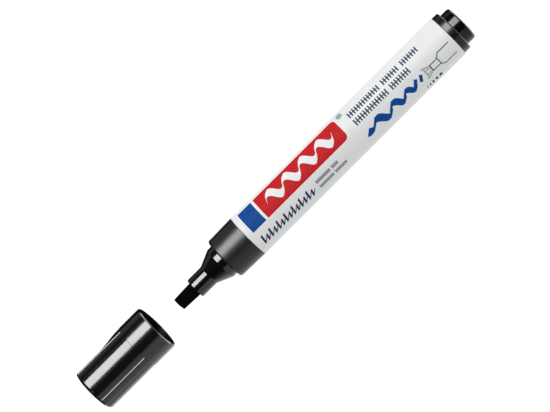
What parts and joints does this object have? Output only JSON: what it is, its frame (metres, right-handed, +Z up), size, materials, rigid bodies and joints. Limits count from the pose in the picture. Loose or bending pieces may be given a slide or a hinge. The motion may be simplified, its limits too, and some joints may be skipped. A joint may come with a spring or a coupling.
{
  "type": "calligraphy marker",
  "caption": "Round-barrelled calligraphy marker with a flexible chisel felt nib, an ink-holding fibre core and a push-on fluted cap, lying with the cap off.",
  "frame": {"origin": "on the table, under the middle of the whole length from the cap's closed end to the rear post", "axes": "+X along the marker's axis from nib to rear, +Z up from the table, +Y across; the broad side of the nib faces +Z"},
  "size_m": [0.173, 0.0172, 0.0172],
  "materials": {
    "white_plastic": "satin",
    "black_satin_plastic": "satin",
    "black_gloss_plastic": "gloss",
    "liner_plastic": "satin",
    "nib_felt": "matte",
    "ink_fibre": "matte",
    "clear_film": "gloss"
  },
  "bodies": {
    "marker": {"barrel": "white_plastic", "front_section": "black_satin_plastic", "nib_stem": "nib_felt", "fibre_reservoir": "ink_fibre", "reservoir_film": "clear_film", "end_plug": "black_satin_plastic"},
    "nib": {"nib_tip": "nib_felt"},
    "cap": {"cap_shell": "black_gloss_plastic", "cap_liner": "liner_plastic"}
  },
  "joints": [
    {"name": "cap_slide", "type": "slide", "parent": "marker", "child": "cap", "axis": [1, 0, 0], "range_m": [0, 0.03765]},
    {"name": "nib_flex", "type": "hinge", "parent": "marker", "child": "nib", "pos_m": [-0.0382, 0, 0.0086], "axis": [0, 1, 0], "range_deg": [-8, 8], "stiffness_Nm_per_rad": 0.002}
  ]
}
